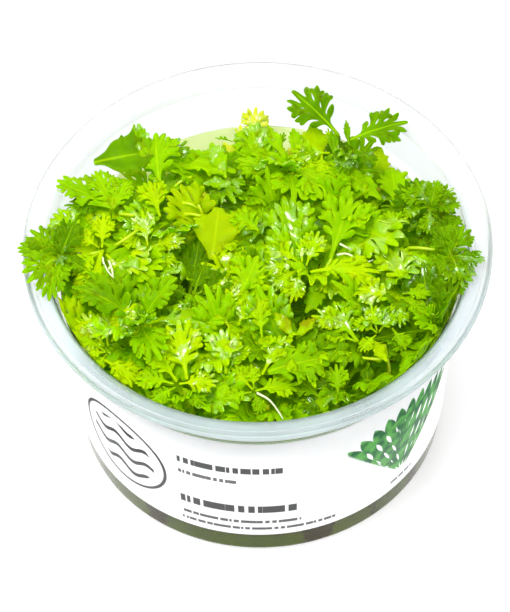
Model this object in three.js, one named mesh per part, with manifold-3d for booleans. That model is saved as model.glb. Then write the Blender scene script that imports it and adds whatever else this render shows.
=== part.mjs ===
// A growing cup of water violet: a clear cup, its flat flange, a label sleeve, a disc of gel on the
// floor, and a stand of young shoots whose rosettes fill the cup and rise a little over its rim.
// Millimetres, +Z up, origin at the middle of the cup's foot, the label's front towards -Y.
import * as THREE from "three";
import { mergeVertices } from "three/addons/utils/BufferGeometryUtils.js";
import Module from "manifold-3d";

const wasm = await Module();
wasm.setup();

// Driving dimensions
const rimRadius = 50;
const cupHeight = 58.4;
const wall = 0.8;
const footRadius = 40;
const footRound = 1.6;
const stepHeight = 46.4;
const stepRadius = 42.6;
const neckRadius = 43.9;
const mouthRadius = 44.7;
const mouthHeight = 56.8;
const flangeThick = 2.5;
const stripWidth = 1.7;
const turns = 32;

const label = { bottom: 7.4, top: 45.2, gap: 0.3, thick: 0.3 };
const gel = { top: 9.6, gap: 0.35 };
const gap = 0.35;

const leafThick = 0.9;
const leafDroop = 0.14;
const lobeWidth = 0.42;
const widestLeaf = 75;
const valleyRadius = 1.9;
const ringLeaves = 5;
const ringLift = 24;
const liftStep = 6;
const tuft = { leaves: 3, lift: 58, length: 7.5, rise: 0.5, turn: 36 };
const overhang = 4;
const standTop = 90;

const stemRadius = 0.9;
const stemSides = 6;
const stemFoot = 0.8;
const stemBend = 0.86;

// Each shoot: where its rosette's middle is, how long its leaves are and how far their ring is turned.
// A shoot with leaves that stand out lists them instead, as compass angle, lift and length.
const shoots = [
  { place: "far_left", at: [-42, -1, 59], turn: 30, leaves: [
    [168, 9, 9.6], [215, 8, 9.6], [262, 14, 10], [120, 14, 9.5], [60, 26, 10], [330, 30, 10]] },
  { place: "left", at: [-32, 0, 58], leaf: 13, turn: 60 },
  { place: "left_fan", at: [-31, 13, 56], turn: 20, leaves: [
    [150, 26, 14], [95, 30, 13], [30, 20, 12], [325, 24, 12], [215, 24, 12]] },
  { place: "left_rim", at: [-35, -17, 55], leaf: 13, turn: 50 },
  { place: "back_left", at: [-19, 24, 56], turn: 0, leaves: [
    [182, 20, 17], [128, 32, 14], [60, 24, 13], [5, 18, 14], [300, 22, 12]] },
  { place: "back", at: [-6, 22, 56], leaf: 14, turn: 35 },
  { place: "back_pale", at: [-1, 32, 51], leaf: 11, turn: 18 },
  { place: "back_right", at: [7, 21, 56], leaf: 14, turn: 10 },
  { place: "tall_right", at: [19, 24, 59], turn: 55, leaves: [
    [131, 18, 18], [75, 42, 10], [22, 14, 18], [318, 16, 12], [220, 20, 12]] },
  { place: "yellow_back", at: [29, 22, 52], leaf: 12, turn: 25 },
  { place: "right_back", at: [37, 11, 57], leaf: 10, turn: 45 },
  { place: "far_right", at: [41, -4, 59], turn: 20, leaves: [
    [345, 9, 8], [35, 20, 9], [100, 26, 10], [165, 26, 10], [225, 26, 10], [290, 14, 9]] },
  { place: "right", at: [30, -7, 57], leaf: 14, turn: 65 },
  { place: "right_middle", at: [20, 8, 57], leaf: 15, turn: 40 },
  { place: "middle_back", at: [5, 9, 56], leaf: 14, turn: 5 },
  { place: "yellow_middle", at: [-9, 8, 54], leaf: 14, turn: 50 },
  { place: "left_middle", at: [-20, 6, 57], leaf: 14, turn: 15 },
  { place: "bright_middle", at: [10, -5, 59], leaf: 15, turn: 35 },
  { place: "middle", at: [-3, -8, 57], leaf: 14, turn: 60 },
  { place: "star", at: [-15, -9, 56], leaf: 13, turn: 25 },
  { place: "left_front", at: [-25, -19, 56], leaf: 14, turn: 5 },
  { place: "front_left", at: [-16, -32, 54], leaf: 14, turn: 55 },
  { place: "front_middle_left", at: [-8, -21, 57], leaf: 14, turn: 30 },
  { place: "front_middle", at: [5, -23, 57], leaf: 14, turn: 10 },
  { place: "front", at: [1, -36, 53], leaf: 13, turn: 45 },
  { place: "front_right", at: [17, -31, 54], leaf: 14, turn: 20 },
  { place: "right_front", at: [22, -17, 57], leaf: 14, turn: 50 },
  { place: "right_rim", at: [36, -20, 54], leaf: 12, turn: 0 },
];

const finishes = {
  clear: { color: 0xeef4f4, roughness: 0.08, metalness: 0 },
  paper: { color: 0xe8ebed, roughness: 0.55, metalness: 0 },
  gel: { color: 0x62702b, roughness: 0.25, metalness: 0 },
  stem: { color: 0xa9c93a, roughness: 0.4, metalness: 0 },
};

const radians = THREE.MathUtils.degToRad;

function solidOf(geometry) {
  const bare = geometry.clone();
  bare.deleteAttribute("normal");
  bare.deleteAttribute("uv");
  const merged = mergeVertices(bare, 1e-4);
  const vertProperties = new Float32Array(merged.attributes.position.array);
  const triVerts = new Uint32Array(merged.index.array);
  return new wasm.Manifold(new wasm.Mesh({ numProp: 3, vertProperties, triVerts }));
}

function geometryOf(solid) {
  const mesh = solid.getMesh();
  const points = new Float32Array(mesh.numVert * 3);
  for (let i = 0; i < mesh.numVert; i += 1) {
    for (let k = 0; k < 3; k += 1) {
      points[i * 3 + k] = mesh.vertProperties[i * mesh.numProp + k];
    }
  }
  const geometry = new THREE.BufferGeometry();
  geometry.setAttribute("position", new THREE.BufferAttribute(points, 3));
  geometry.setIndex(new THREE.BufferAttribute(new Uint32Array(mesh.triVerts), 1));
  geometry.computeVertexNormals();
  return geometry;
}

// A profile of [radius, height] points, turned about the upright axis.
function turned(profile) {
  const points = profile.map(([radius, height]) => new THREE.Vector2(radius, height));
  const geometry = new THREE.LatheGeometry(points, turns);
  geometry.rotateX(Math.PI / 2);
  return geometry;
}

// The wall's outer radius between the foot and the step.
function wallRadius(height) {
  const share = (height - footRound) / (stepHeight - footRound);
  return THREE.MathUtils.lerp(footRadius, stepRadius, share);
}

function cupProfile() {
  const top = mouthHeight - wall - gap;
  return [
    [0, 0],
    [footRadius - footRound, 0],
    [footRadius, footRound],
    [stepRadius, stepHeight],
    [neckRadius, stepHeight + 1.4],
    [mouthRadius + wall - 0.05, top],
    [mouthRadius - 0.15, top],
    [neckRadius - wall, stepHeight + 1.8],
    [stepRadius - wall, stepHeight + 0.3],
    [footRadius - wall, footRound + 0.2],
    [footRadius - footRound - 0.3, wall],
    [0, wall],
  ];
}

// The flat flange on the wall's top, with its raised outer strip.
function flangeProfile() {
  const under = mouthHeight - wall;
  const shelf = cupHeight - 0.4;
  return [
    [mouthRadius - 0.1, under],
    [mouthRadius + wall, under],
    [rimRadius - wall, mouthHeight - 0.4],
    [rimRadius, cupHeight - flangeThick],
    [rimRadius, cupHeight - 0.5],
    [rimRadius - 0.5, cupHeight],
    [rimRadius - stripWidth, cupHeight],
    [rimRadius - stripWidth - 0.3, shelf],
    [mouthRadius + 1.1, shelf],
    [mouthRadius, mouthHeight],
    [mouthRadius - 0.1, under],
  ];
}

function labelProfile() {
  const inner = (height) => wallRadius(height) + label.gap;
  return [
    [inner(label.bottom), label.bottom],
    [inner(label.bottom) + label.thick, label.bottom],
    [inner(label.top) + label.thick, label.top],
    [inner(label.top), label.top],
    [inner(label.bottom), label.bottom],
  ];
}

function gelProfile() {
  const bottom = wall + gel.gap;
  const side = (height) => wallRadius(height) - wall - gel.gap;
  return [
    [0, bottom],
    [side(bottom) - footRound, bottom],
    [side(footRound) - 0.3, footRound + 0.6],
    [side(gel.top), gel.top],
    [0, gel.top],
  ];
}

// The space that leaves may fill: inside the cup, and wider above the flange.
function leafRoom() {
  const above = cupHeight + gap;
  return solidOf(turned([
    [0, gel.top + gap],
    [wallRadius(gel.top) - wall - gap, gel.top + gap],
    [stepRadius - wall - gap, stepHeight],
    [mouthRadius - gap, mouthHeight],
    [mouthRadius + 0.6, above],
    [rimRadius + overhang, above],
    [rimRadius + overhang, standTop],
    [0, standTop],
  ]));
}

// One side of a leaf, from its stalk to just before its tip, as shares of its length along and across.
function lobes(pairs, width) {
  const points = [];
  const stalk = 0.3;
  const step = (1 - stalk) / (pairs + 0.6);
  for (let i = 0; i < pairs; i += 1) {
    const start = stalk + step * i;
    points.push([start + step * 0.55, width * (1 - 0.22 * i)]);
    points.push([start + step * 0.8, 0.1]);
  }
  return points;
}

// A ring of lobed leaves in one outline, lifted leaf by leaf, with an even upright thickness.
function star(leaves, pairs, bottom) {
  const sorted = leaves.toSorted((one, two) => one.angle - two.angle);
  const count = sorted.length;
  const outline = [];
  const heights = [];
  function addPoint(angle, along, across, lift, length) {
    const turn = radians(angle);
    const x = along * Math.cos(turn) - across * Math.sin(turn);
    const y = along * Math.sin(turn) + across * Math.cos(turn);
    const out = Math.hypot(along, across);
    outline.push(new THREE.Vector2(x, y));
    heights.push(out * Math.tan(radians(lift)) - (leafDroop * out * out) / length);
  }
  for (let i = 0; i < count; i += 1) {
    const leaf = sorted[i];
    const next = sorted[(i + 1) % count];
    const gapBefore = (leaf.angle - sorted[(i + count - 1) % count].angle + 360) % 360;
    const gapAfter = (next.angle - leaf.angle + 360) % 360;
    const spread = Math.min(gapBefore, gapAfter, widestLeaf);
    const plan = leaf.length * Math.cos(radians(leaf.lift));
    const half = lobes(pairs, lobeWidth * Math.tan(radians(spread / 2)));
    for (const [along, across] of half) {
      addPoint(leaf.angle, along * plan, -across * plan, leaf.lift, leaf.length);
    }
    addPoint(leaf.angle, plan, 0, leaf.lift, leaf.length);
    for (const [along, across] of half.toReversed()) {
      addPoint(leaf.angle, along * plan, across * plan, leaf.lift, leaf.length);
    }
    addPoint(leaf.angle + gapAfter / 2, valleyRadius, 0, (leaf.lift + next.lift) / 2, leaf.length);
  }
  const geometry = new THREE.ExtrudeGeometry(new THREE.Shape(outline), {
    depth: leafThick,
    bevelEnabled: false,
  });
  const spots = geometry.attributes.position;
  for (let i = 0; i < spots.count; i += 1) {
    const x = spots.getX(i);
    const y = spots.getY(i);
    const near = outline.findIndex((point) => Math.hypot(point.x - x, point.y - y) < 1e-3);
    spots.setZ(i, spots.getZ(i) + heights[near] + bottom);
  }
  return solidOf(geometry);
}

function ringOf(count, turn, lift, length) {
  return Array.from({ length: count }, (_, i) => ({
    angle: (turn + (360 * i) / count) % 360,
    lift: lift + liftStep * (i % 3),
    length: length * (1 - 0.07 * (i % 2)),
  }));
}

// A ring of lobed leaves, or the shoot's own listed leaves, with a small upright tuft in its middle.
function rosette(shoot) {
  const listed = shoot.leaves?.map(([angle, lift, length]) => ({ angle, lift, length }));
  const ring = listed ?? ringOf(ringLeaves, shoot.turn, ringLift, shoot.leaf);
  const inner = ringOf(tuft.leaves, shoot.turn + tuft.turn, tuft.lift, tuft.length);
  return star(ring, 2, 0).add(star(inner, 1, tuft.rise)).translate(shoot.at);
}

// The half-space on a neighbour's side of the upright plane midway between two rosettes.
function beyond(shoot, neighbour) {
  const here = new THREE.Vector2(shoot.at[0], shoot.at[1]);
  const away = new THREE.Vector2(neighbour.at[0], neighbour.at[1]).sub(here);
  const size = standTop;
  const block = new THREE.BoxGeometry(size, size * 2, size * 2);
  block.translate(away.length() / 2 - gap / 2 + size / 2, 0, 0);
  block.rotateZ(away.angle());
  block.translate(shoot.at[0], shoot.at[1], shoot.at[2]);
  return solidOf(block);
}

function largest(solid) {
  const pieces = solid.decompose();
  return pieces.reduce((best, piece) => (piece.volume() > best.volume() ? piece : best));
}

function leavesGeometry(shoot, room) {
  const reachOut = 36;
  let solid = rosette(shoot).intersect(room);
  for (const other of shoots) {
    const apart = Math.hypot(other.at[0] - shoot.at[0], other.at[1] - shoot.at[1]);
    if (other !== shoot && apart < reachOut) {
      solid = solid.subtract(beyond(shoot, other));
    }
  }
  return geometryOf(largest(solid));
}

function stemGeometry(shoot) {
  const [x, y, z] = shoot.at;
  const foot = new THREE.Vector3(x * stemFoot, y * stemFoot, gel.top + gap);
  const top = new THREE.Vector3(x, y, z - gap);
  const middle = new THREE.Vector3(x * stemBend, y * stemBend, (foot.z + top.z) / 2);
  const path = new THREE.QuadraticBezierCurve3(foot, middle, top);
  const corners = Array.from({ length: stemSides }, (_, i) => {
    const angle = (2 * Math.PI * i) / stemSides;
    return new THREE.Vector2(stemRadius * Math.cos(angle), stemRadius * Math.sin(angle));
  });
  const options = { steps: 2, extrudePath: path, bevelEnabled: false };
  return new THREE.ExtrudeGeometry(new THREE.Shape(corners), options);
}

const group = new THREE.Group();

function addPiece(name, geometry, finish) {
  const mesh = new THREE.Mesh(geometry, new THREE.MeshStandardMaterial(finish));
  mesh.name = name;
  group.add(mesh);
}

function leafFinish(index) {
  const color = new THREE.Color().setHSL(0.22 + 0.015 * (index % 4), 0.85, 0.38 + 0.03 * (index % 3));
  return { color, roughness: 0.32, metalness: 0 };
}

addPiece("cup", turned(cupProfile()), finishes.clear);
addPiece("flange", turned(flangeProfile()), finishes.clear);
addPiece("label", turned(labelProfile()), finishes.paper);
addPiece("gel", turned(gelProfile()), finishes.gel);

const room = leafRoom();
shoots.forEach((shoot, index) => {
  addPiece(`stem_${shoot.place}`, stemGeometry(shoot), finishes.stem);
  addPiece(`leaves_${shoot.place}`, leavesGeometry(shoot, room), leafFinish(index));
});

export default group;
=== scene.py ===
import math
import random
from collections import namedtuple

import bmesh
import bpy
from mathutils import Matrix, Vector


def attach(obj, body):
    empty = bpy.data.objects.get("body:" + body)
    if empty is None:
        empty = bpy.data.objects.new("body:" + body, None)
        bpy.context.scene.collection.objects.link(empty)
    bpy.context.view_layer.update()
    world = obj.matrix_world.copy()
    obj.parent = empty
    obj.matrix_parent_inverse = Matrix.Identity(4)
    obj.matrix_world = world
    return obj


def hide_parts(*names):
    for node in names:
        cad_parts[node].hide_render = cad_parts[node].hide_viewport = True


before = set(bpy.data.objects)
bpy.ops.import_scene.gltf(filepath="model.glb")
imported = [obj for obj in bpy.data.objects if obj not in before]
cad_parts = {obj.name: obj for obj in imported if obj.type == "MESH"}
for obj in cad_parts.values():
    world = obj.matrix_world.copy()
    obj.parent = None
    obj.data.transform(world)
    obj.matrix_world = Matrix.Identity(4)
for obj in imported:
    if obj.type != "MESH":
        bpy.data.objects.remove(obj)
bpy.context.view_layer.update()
mm = 0.001
print("frame loaded:", len(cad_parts), "solids")

# The view of the photograph, from above the label's side
view = {
    "imageWidth": 510,
    "imageHeight": 612,
    "focalPixels": 4200,
    "sensor": 36,
    "clip": (0.05, 20),
    "distance": 911 * mm,
    "elevation": math.radians(54.0),
    "roll": math.radians(-1.64),
    "target": Vector((-0.9, 0, 35.8)) * mm,
}


def viewAxes():
    back = Vector((0, -math.cos(view["elevation"]), math.sin(view["elevation"])))
    right = Vector((1, 0, 0))
    up = back.cross(right)
    turn = Matrix.Rotation(view["roll"], 3, back)
    return turn @ right, turn @ up, back


def addCamera():
    right, up, back = viewAxes()
    data = bpy.data.cameras.new("camera")
    data.sensor_width = view["sensor"]
    data.lens = view["focalPixels"] * view["sensor"] / view["imageHeight"]
    data.clip_start, data.clip_end = view["clip"]
    camera = bpy.data.objects.new("camera", data)
    turned = Matrix((right, up, back)).transposed().to_4x4()
    camera.matrix_world = Matrix.Translation(view["target"] + back * view["distance"]) @ turned
    bpy.context.collection.objects.link(camera)
    bpy.context.scene.camera = camera


def photoPoint(across, down, height):
    # where the line of sight through a point of the photograph meets a height in mm
    right, up, back = viewAxes()
    eye = view["target"] + back * view["distance"]
    ray = right * (across - view["imageWidth"] / 2) / view["focalPixels"]
    ray -= up * (down - view["imageHeight"] / 2) / view["focalPixels"]
    ray -= back
    return eye + ray * (height * mm - eye.z) / ray.z


def photoSpot(point):
    # where a point is seen in the photograph
    right, up, back = viewAxes()
    ray = point - view["target"] - back * view["distance"]
    scale = view["focalPixels"] / -ray.dot(back)
    return view["imageWidth"] / 2 + ray.dot(right) * scale, view["imageHeight"] / 2 - ray.dot(up) * scale


addCamera()
print("camera placed")


# Shader maths: a wire wraps a socket, and an expression on wires adds its Math nodes
class Wire:
    def __init__(self, graph, socket):
        self.graph = graph
        self.socket = socket

    def calc(self, operation, *others):
        return self.graph.maths(operation, self, *others)

    def __abs__(self):
        return self.calc("ABSOLUTE")

    def __add__(self, other):
        return self.calc("ADD", other)

    def __sub__(self, other):
        return self.calc("SUBTRACT", other)

    def __rsub__(self, other):
        return self.graph.maths("SUBTRACT", other, self)

    def __mul__(self, other):
        return self.calc("MULTIPLY", other)

    def __truediv__(self, other):
        return self.calc("DIVIDE", other)

    def __pow__(self, other):
        return self.calc("POWER", other)

    __radd__ = __add__
    __rmul__ = __mul__


class Graph:
    def __init__(self, name):
        self.material = bpy.data.materials.new(name)
        self.material.use_nodes = True
        self.tree = self.material.node_tree
        self.shader = self.tree.nodes["Principled BSDF"]

    def add(self, kind, settings=None, inputs=None, out=0):
        node = self.tree.nodes.new("ShaderNode" + kind)
        for key, value in (settings or {}).items():
            setattr(node, key, value)
        for key, value in (inputs or {}).items():
            self.plug(node.inputs[key], value)
        return Wire(self, node.outputs[out])

    def plug(self, socket, value):
        if isinstance(value, Wire):
            self.tree.links.new(value.socket, socket)
        else:
            socket.default_value = value

    def surface(self, sockets):
        for name, value in sockets.items():
            self.plug(self.shader.inputs[name], value)
        return self.material

    def maths(self, operation, *values):
        return self.add("Math", {"operation": operation}, dict(enumerate(values)))

    def length(self, across, along):
        return (across ** 2.0 + along ** 2.0) ** 0.5

    def split(self, kind, name, value):
        # the parts of a vector or a colour
        node = self.add(kind, inputs={name: value}).socket.node
        return [Wire(self, socket) for socket in node.outputs]

    def axes(self, vector):
        return self.split("SeparateXYZ", "Vector", vector)

    def place(self):
        return self.add("TexCoord", out="Object")

    def mix(self, amount, first, second):
        return self.add("Mix", {"data_type": "RGBA"}, {0: amount, 6: first, 7: second}, out=2)

    def soft(self, value, low, high):
        # 0 below low, 1 above high, with a smooth step between
        return self.add("MapRange", {"interpolation_type": "SMOOTHSTEP"}, {
            "Value": value, "From Min": low, "From Max": high})

    def band(self, value, low, high, soft=0.15):
        # 1 between low and high, 0 outside, with soft edges
        return self.soft(value, low - soft, low + soft) * (1 - self.soft(value, high - soft, high + soft))

    def noise(self, coords, scale, detail=2):
        return self.add("TexNoise", {}, {"Vector": coords, "Scale": scale, "Detail": detail})

    def bump(self, strength, distance, height):
        return self.add("Bump", {}, {
            "Strength": strength, "Distance": distance * mm, "Height": height}, out="Normal")


def colour(red, green, blue):
    # screen values from 0 to 255, as light
    def light(value):
        value /= 255
        return value / 12.92 if value <= 0.04045 else ((value + 0.055) / 1.055) ** 2.4
    return (light(red), light(green), light(blue), 1)


def addPiece(name, mesh, material, slot, *nodes):
    for face in mesh.polygons:
        face.use_smooth = True
    mesh.materials.append(material)
    piece = bpy.data.objects.new(name, mesh)
    bpy.context.collection.objects.link(piece)
    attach(piece, "root")
    if nodes:
        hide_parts(*nodes)
    return piece


def meshOf(form, name):
    mesh = bpy.data.meshes.new(name)
    form.to_mesh(mesh)
    form.free()
    return mesh


# The cup: one profile spun round the upright axis, in mm as [radius, height]
cup = {
    "rimRadius": 50,
    "height": 58.4,
    "wall": 0.8,
    "footRadius": 40,
    "footRound": 1.6,
    "stepHeight": 46.4,
    "stepRadius": 42.6,
    "neckRadius": 43.9,
    "mouthRadius": 44.7,
    "mouthHeight": 56.8,
    "cornerSteps": 4,
    "turns": 144,
}


def wallRadius(height):
    share = (height - cup["footRound"]) / (cup["stepHeight"] - cup["footRound"])
    return cup["footRadius"] + (cup["stepRadius"] - cup["footRadius"]) * share


def spun(profile, turns, closed=False):
    form = bmesh.new()
    rings = [form.verts.new((0, -radius * mm, height * mm)) for radius, height in profile]
    line = [form.edges.new(pair) for pair in zip(rings, rings[1:])]
    if closed:
        line.append(form.edges.new((rings[-1], rings[0])))
    bmesh.ops.spin(form, geom=rings + line, cent=(0, 0, 0), axis=(0, 0, 1), steps=turns,
                   angle=math.tau, use_merge=True)
    bmesh.ops.remove_doubles(form, verts=form.verts, dist=0.002 * mm)
    bmesh.ops.dissolve_degenerate(form, edges=form.edges, dist=0.001 * mm)
    bmesh.ops.recalc_face_normals(form, faces=form.faces)
    return form


def curved(start, middle, end, steps):
    # points of a curve from start to end that is drawn towards middle
    shares = [i / steps for i in range(steps + 1)]
    return [start * (1 - t) ** 2 + middle * 2 * t * (1 - t) + end * t * t for t in shares]


def roundCorner(before, corner, after, size):
    # points of a small arc that takes the place of a profile's corner
    corner = Vector(corner)
    start = corner + (Vector(before) - corner).normalized() * size
    end = corner + (Vector(after) - corner).normalized() * size
    return [tuple(point) for point in curved(start, corner, end, cup["cornerSteps"])]


def cupProfile():
    # each corner with the size of its rounding: up the outside, over the rim and down the inside
    top, mouth, wall, rim = cup["height"], cup["mouthHeight"], cup["wall"], cup["rimRadius"]
    foot, neck, ring = cup["footRadius"] - 0.1, cup["neckRadius"], cup["mouthRadius"]
    stepRadius, step = cup["stepRadius"], cup["stepHeight"]
    corners = [
        ((foot, 0), 1.5),
        ((stepRadius, step), 0.5),
        ((neck, step + 1.4), 0.6),
        ((ring + wall, mouth - wall), 0.6),
        ((rim - 1.3, mouth - wall), 0.5),
        ((rim, mouth + 0.6), 0.25),
        ((rim, top), 0.4),
        ((rim - 1.6, top), 0.35),
        ((rim - 1.9, top - 0.5), 0.2),
        ((ring + 1.3, top - 0.45), 0.5),
        ((ring, mouth - 0.2), 0.6),
        ((neck - wall, step + 1.8), 0.5),
        ((stepRadius - wall, step + 0.5), 0.4),
        ((foot - wall, wall), 1.2),
    ]
    line = [((0, 0), 0)] + corners + [((0, wall), 0)]
    profile = [(0, 0)]
    for (before, _), (corner, size), (after, _) in zip(line, line[1:], line[2:]):
        profile += roundCorner(before, corner, after, size)
    return profile + [(0, wall)]


# The plastic: its tints in front and at the back, with the darker front, the mouth's ring and the two olive
# lines as painted shade, and how milky it is
plastic = {
    "wall": (0.97, 0.98, 0.975, 1),
    "neck": (0.9, 0.95, 0.95, 1),
    # flange and lip: the front tints, painted darker than the back's as painted shade
    "flange": (0.82, 0.87, 0.91, 1),
    "lip": (0.93, 0.95, 0.94, 1),
    "backFlange": (0.985, 0.99, 0.99, 1),
    # the mouth's ring, darker in front than at the back: painted shade
    "mouth": (0.5, 0.66, 0.59, 1),
    "backMouthShade": (0.76, 0.82, 0.81, 1),
    # two olive lines low on the neck in front: painted shade
    "shadeLineHeights": (45.8, 47.9),
    "line": (0.42, 0.5, 0.16, 1),
    "milk": 0.3,
    "milky": (0.79, 0.89, 0.93, 1),
    "backMilky": (0.96, 0.98, 0.98, 1),
    "milkyShadeLine": (0.3, 0.36, 0.06, 1),
}


def clearPlastic():
    graph = Graph("clearPlastic")
    place = graph.place()
    across, deep, height = (axis / mm for axis in graph.axes(place))
    radius = graph.length(across, deep)
    step, mouth, ring, rim = cup["stepHeight"], cup["mouthHeight"], cup["mouthRadius"], cup["rimRadius"]
    neck = graph.soft(height, step, step + 2)
    flange = graph.soft(height, mouth - 2, mouth - 0.5)
    lip = graph.soft(radius, rim - 2.4, rim - 1.8)
    side = graph.soft(radius, rim - 0.5, rim - 0.15) * flange
    # a darker ring at the mouth's edge: painted shade, darkest in front
    edge = graph.soft(radius, ring + 0.2, ring + 0.4) * flange * (
        1 - graph.soft(radius, ring + 1.0, ring + 1.3))
    # the front is painted darker than the back: painted shade of the dark leaves and wall seen through the
    # flange in front
    front = 1 - graph.soft(deep, -30, -5)
    frontShadeMask = 1 - graph.soft(deep, -25, 20)
    # the two olive lines in front: painted shade
    lines = 0
    for line in plastic["shadeLineHeights"]:
        lines = (1 - graph.soft(abs(height - line), 0.1, 0.22)) * front + lines
    frontShadeTint = graph.mix(lip, plastic["flange"], plastic["lip"])
    tinted = graph.mix(neck, plastic["wall"], plastic["neck"])
    tinted = graph.mix(flange, tinted, graph.mix(frontShadeMask, plastic["backFlange"], frontShadeTint))
    tinted = graph.mix(lines, tinted, plastic["line"])
    graph.surface({
        "Base Color": graph.mix(edge, tinted, graph.mix(frontShadeMask, plastic["backMouthShade"], plastic["mouth"])),
        "Roughness": 0.04 + 0.06 * graph.noise(place, 60) + 0.08 * flange,
        "IOR": 1.3,
        "Transmission Weight": 1.0,
        "Specular Tint": (0.05, 0.05, 0.05, 1),
    })
    # the flange and the low part of the neck are slightly milky; the milk's colour is painted darker in front
    # as painted shade, with the olive lines of painted shade in it
    milky = graph.mix(frontShadeMask, plastic["backMilky"], plastic["milky"])
    milk = graph.add("BsdfPrincipled", {}, {
        "Base Color": graph.mix(lines, milky, plastic["milkyShadeLine"]), "Roughness": 0.35,
        "Specular IOR Level": 0.2}, out="BSDF")
    streak = graph.soft(graph.noise(place, 34, 1), 0.35, 0.65)
    low = graph.soft(height, step - 1.6, step - 1.2) * (1 - graph.soft(height, step + 1.8, step + 3.4))
    share = plastic["milk"] * (
        flange * (0.45 + 0.4 * streak) + neck * 0.35 + low * front * 1.6 + side * 0.7)
    mixed = graph.add("MixShader", {}, {0: share, 1: Wire(graph, graph.shader.outputs[0]), 2: milk})
    graph.plug(graph.tree.nodes["Material Output"].inputs["Surface"], mixed)
    return graph.material


addPiece("clearCup", meshOf(spun(cupProfile(), cup["turns"]), "clearCup"), clearPlastic(),
         "clear_plastic", "cup", "flange")
print("cup made")


# The label sleeve, with generic marks in mm: a ring of waves, plain bars and a fan of plain leaves
label = {
    "bottom": 7.4,
    "top": 45.2,
    "gap": 0.08,
    "thick": 0.25,
    "turns": 160,
    "arcRadius": 42,
    # how far the sleeve's inside is shifted on the label's plan
    "inside": 1000,
    "ring": {"middle": (-34.5, 25), "size": 12.5, "wave": 1.1, "ripple": 0.75, "spacing": 2.6},
    # a row is its left, right, middle, height, darkness and how often it breaks
    "rows": [(-19, 4, 34.2, 2.3, 0.95, 1.1), (-19, -6, 29.4, 1.4, 0.9, 1.5), (-19, 7, 18.2, 2.8, 1.0, 0.9),
             (-19, 8, 12.9, 1.1, 0.95, 1.3), (-19, 16, 10.1, 1.0, 0.95, 1.4), (31, 38, 10.5, 1.0, 0.8, 1.5)],
    # the fan's root, and its tiers: inner and outer reach, leaves in half a turn and skew
    "root": (34, 12.5),
    "tiers": [(1, 9, 9, 0), (5, 15, 15, 0.5), (10, 21, 19, 0), (16, 28, 23, 0.5)],
}


def labelPaper():
    graph = Graph("labelPaper")
    place = graph.place()
    u, v, _ = graph.axes(graph.add("UVMap", {"uv_map": "labelPlan"}))
    inside = graph.soft(u, label["inside"] * 0.4, label["inside"] * 0.5)
    # a ring with water lines in it
    ring = label["ring"]
    size, spacing = ring["size"], ring["spacing"]
    reach = graph.length(u - ring["middle"][0], v - ring["middle"][1])
    wave = v + ring["wave"] * (u * ring["ripple"]).calc("SINE")
    lines = graph.band(wave.calc("PINGPONG", spacing), spacing - 0.75, spacing + 1)
    ink = graph.band(reach, size - 0.8, size) + lines * (1 - graph.soft(reach, size - 3.4, size - 3))
    # rows of plain bars in place of words
    for left, right, middle, height, dark, rate in label["rows"]:
        breaks = graph.add("TexNoise", {"noise_dimensions": "1D"}, {
            "W": u * rate + middle, "Scale": 1, "Detail": 0})
        row = graph.band(u, left, right) * graph.band(v, middle - height / 2, middle + height / 2)
        ink = ink + row * graph.soft(breaks, 0.36, 0.4) * dark
    # a fan of plain oval leaves
    x, y = label["root"]
    turn = (v - y).calc("ARCTAN2", u - x)
    reach = graph.length(u - x, v - y)
    leaves = 0
    for inner, outer, count, skew in label["tiers"]:
        share = (reach - inner) / (outer - inner)
        shape = (share * math.pi).calc("SINE") * graph.band(reach, inner, outer, 0.05)
        spoke = (turn * count / math.pi + skew).calc("FRACT")
        leaves = (shape * 0.56 - abs(spoke - 0.5)) * 8 * shape + leaves
    within = graph.soft(turn, 0.8, 0.84) * (1 - graph.soft(turn, 2.2, 2.24))
    paper = graph.mix(0.25 * graph.noise(place, 60), colour(252, 253, 253), colour(240, 243, 244))
    printed = graph.mix(ink.calc("MINIMUM", 1), paper, colour(40, 42, 41))
    shade = graph.soft(graph.noise(place, 420, 3), 0.35, 0.65)
    tint = graph.mix(shade, colour(0, 96, 46), colour(84, 168, 70))
    printed = graph.mix(graph.soft(leaves, 0.0, 0.5) * within, printed, tint)
    fibre = graph.noise(place, 2500, 3)
    # painted glow: emission that stands in for light coming through the paper, strong on the inside, faint on
    # the outside
    paintedGlow = graph.mix(inside, graph.mix(0.8, printed, (0, 0, 0, 1)), colour(206, 220, 138))
    return graph.surface({
        # the sleeve's inside is painted pale green: painted light from the green leaves and gel
        "Base Color": graph.mix(inside, printed, colour(222, 234, 190)),
        "Roughness": 0.42 + 0.1 * fibre,
        "Emission Color": paintedGlow,
        "Emission Strength": 0.8,
        "Normal": graph.bump(0.1, 0.05, fibre),
    })


def labelForm():
    def inner(height):
        return wallRadius(height) + label["gap"]
    low, high, thick = label["bottom"], label["top"], label["thick"]
    profile = [(inner(low), low), (inner(low) + thick, low), (inner(high) + thick, high), (inner(high), high)]
    form = spun(profile, label["turns"], closed=True)
    plan = form.loops.layers.uv.new("labelPlan")
    for face in form.faces:
        middle = face.calc_center_median()
        turn = math.atan2(middle.x, -middle.y)
        shift = label["inside"] if face.normal.dot(Vector((middle.x, middle.y, 0))) < 0 else 0
        for loop in face.loops:
            spot = loop.vert.co
            own = turn + math.remainder(math.atan2(spot.x, -spot.y) - turn, math.tau)
            loop[plan].uv = (own * label["arcRadius"] + shift, spot.z / mm)
    return form


addPiece("labelSleeve", meshOf(labelForm(), "labelSleeve"), labelPaper(), "label_paper", "label")
print("label made")


# The gel: a clouded disc on the floor, with a low rise where it meets the wall
gel = {
    "top": 9.6,
    "grip": 0.45,
    "turns": 128,
    # brown stains where old roots lie at the wall: place round it and half the width in mm
    "stains": [(11.7, 3.6), (-25, 2.6), (25.5, 1.0), (38, 1.6)],
}


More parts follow.
